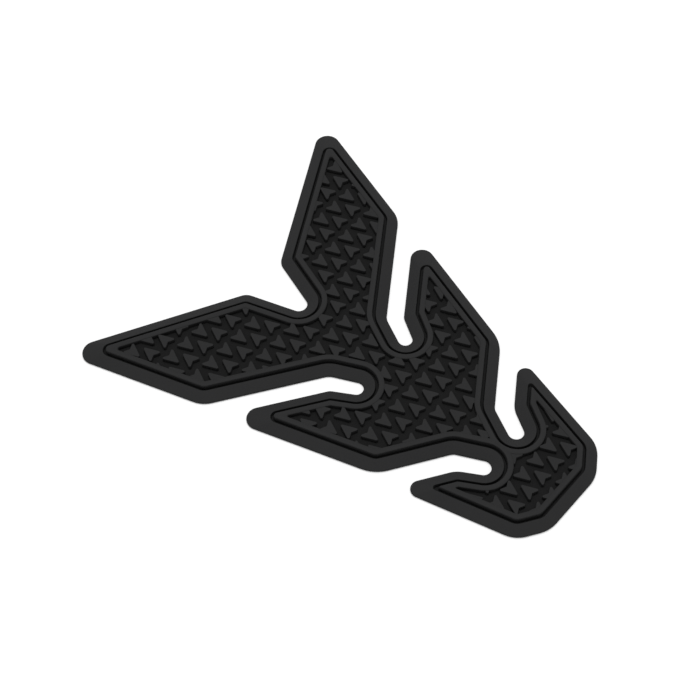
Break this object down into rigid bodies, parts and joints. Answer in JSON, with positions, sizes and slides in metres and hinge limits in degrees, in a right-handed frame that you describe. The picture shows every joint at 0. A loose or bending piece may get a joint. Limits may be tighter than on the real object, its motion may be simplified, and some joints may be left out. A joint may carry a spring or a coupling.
{
  "type": "motorcycle tank pad",
  "caption": "Flat moulded rubber pad with paired arms, a raised rim and arrow-shaped studs, which sticks to the rear of a motorcycle's fuel tank.",
  "frame": {"origin": "middle of the outline's box on the flat underside that sticks to the tank", "axes": "+Z out of the studded face, +Y up the tank towards the open fork between the big arms, X across the pad"},
  "size_m": [0.1592, 0.2, 0.0044],
  "materials": {
    "tank_pad": "matt moulded rubber, charcoal black"
  },
  "bodies": {
    "root": {"tank_pad": "tank_pad"}
  },
  "joints": []
}
